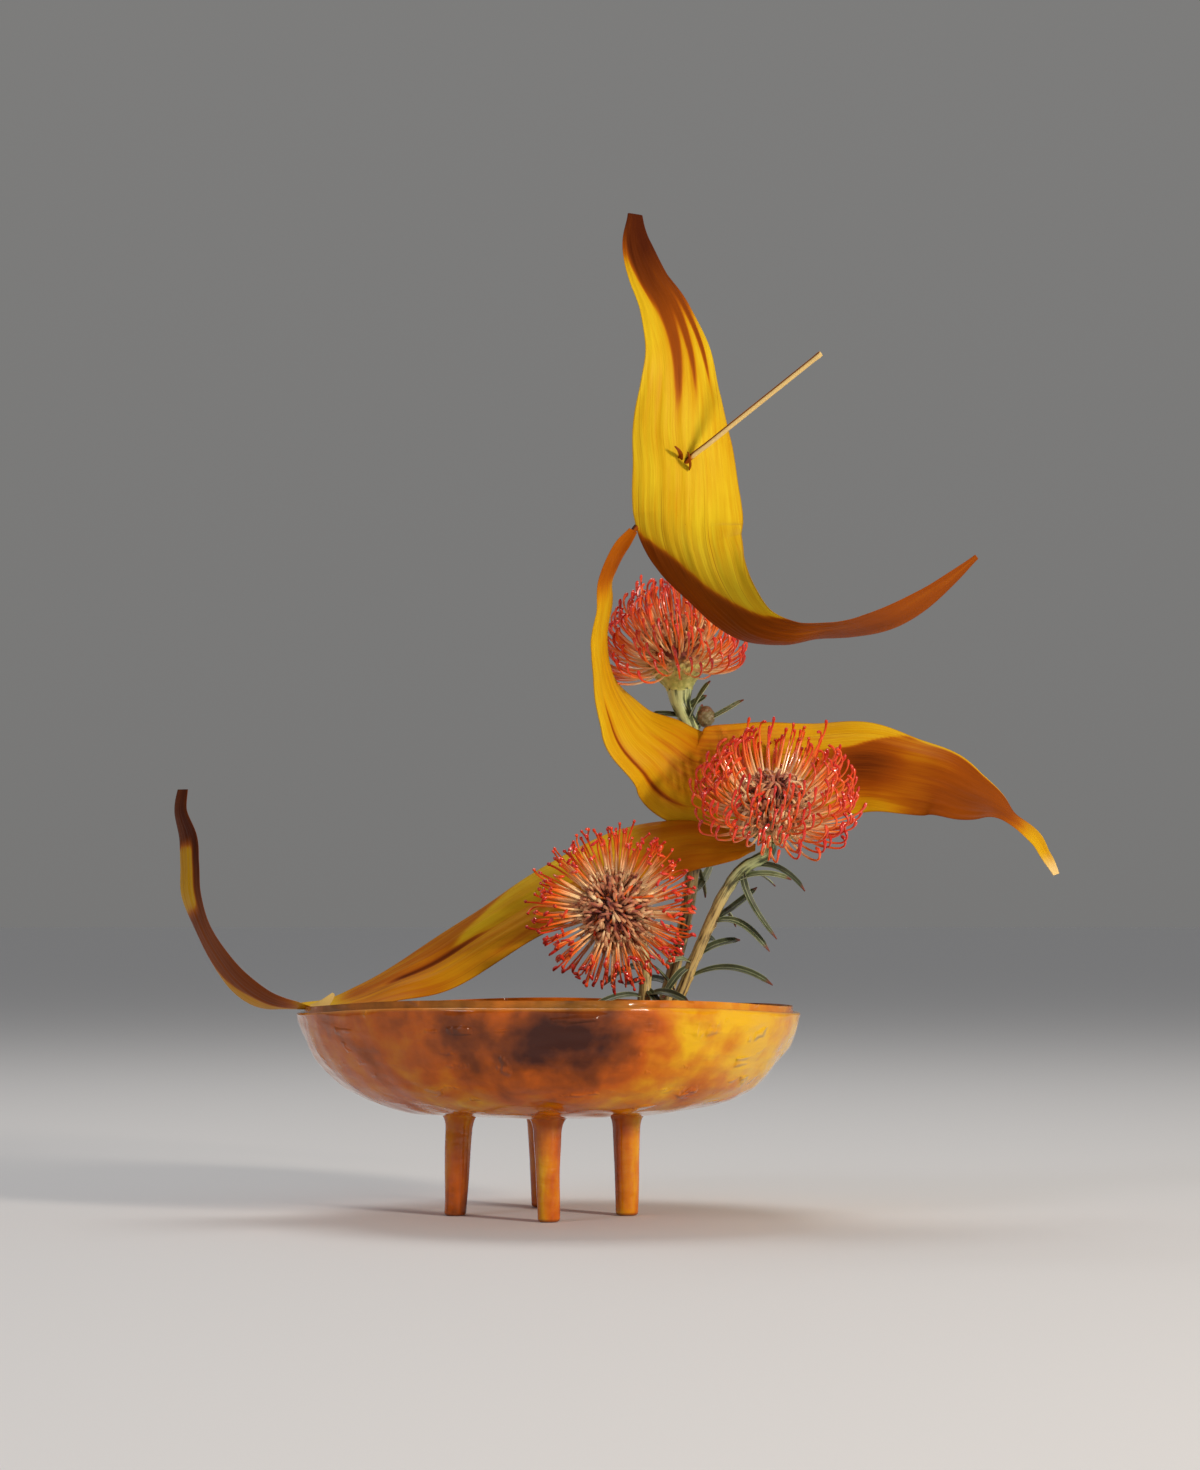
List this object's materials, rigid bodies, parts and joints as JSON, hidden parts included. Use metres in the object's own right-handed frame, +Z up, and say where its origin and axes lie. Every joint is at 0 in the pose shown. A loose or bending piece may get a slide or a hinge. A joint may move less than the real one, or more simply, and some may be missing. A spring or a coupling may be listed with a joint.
{
  "type": "ikebana arrangement",
  "caption": "Ikebana arrangement: golden strap leaves and orange pincushion proteas on a pin holder in the water of a round glazed bowl on tapered legs.",
  "frame": {"origin": "middle of the footprint of the whole arrangement, on the plane that the four feet stand on", "axes": "+Z up, +X to the viewer's right in the front view, +Y to the back"},
  "size_m": [0.5156, 0.294, 0.5866],
  "materials": {
    "amber_glaze": "mottled amber and brown gloss glaze",
    "pin_holder_metal": "dull grey cast base with bright pins",
    "water": "clear still water",
    "golden_leaf": "preserved leaf, satin, lengthwise veins",
    "green_stem": "fresh stem and narrow leaves, satin",
    "protea_bloom": "orange-red styles over cream claws"
  },
  "bodies": {
    "root": {"bowl": "amber_glaze", "pin_holder": "pin_holder_metal", "water": "water", "leaf_upper": "golden_leaf", "leaf_middle": "golden_leaf", "leaf_lower": "golden_leaf", "stem_high": "green_stem", "stem_middle": "green_stem", "stem_low": "green_stem", "bloom_high": "protea_bloom", "bloom_middle": "protea_bloom", "bloom_low": "protea_bloom"}
  },
  "joints": []
}
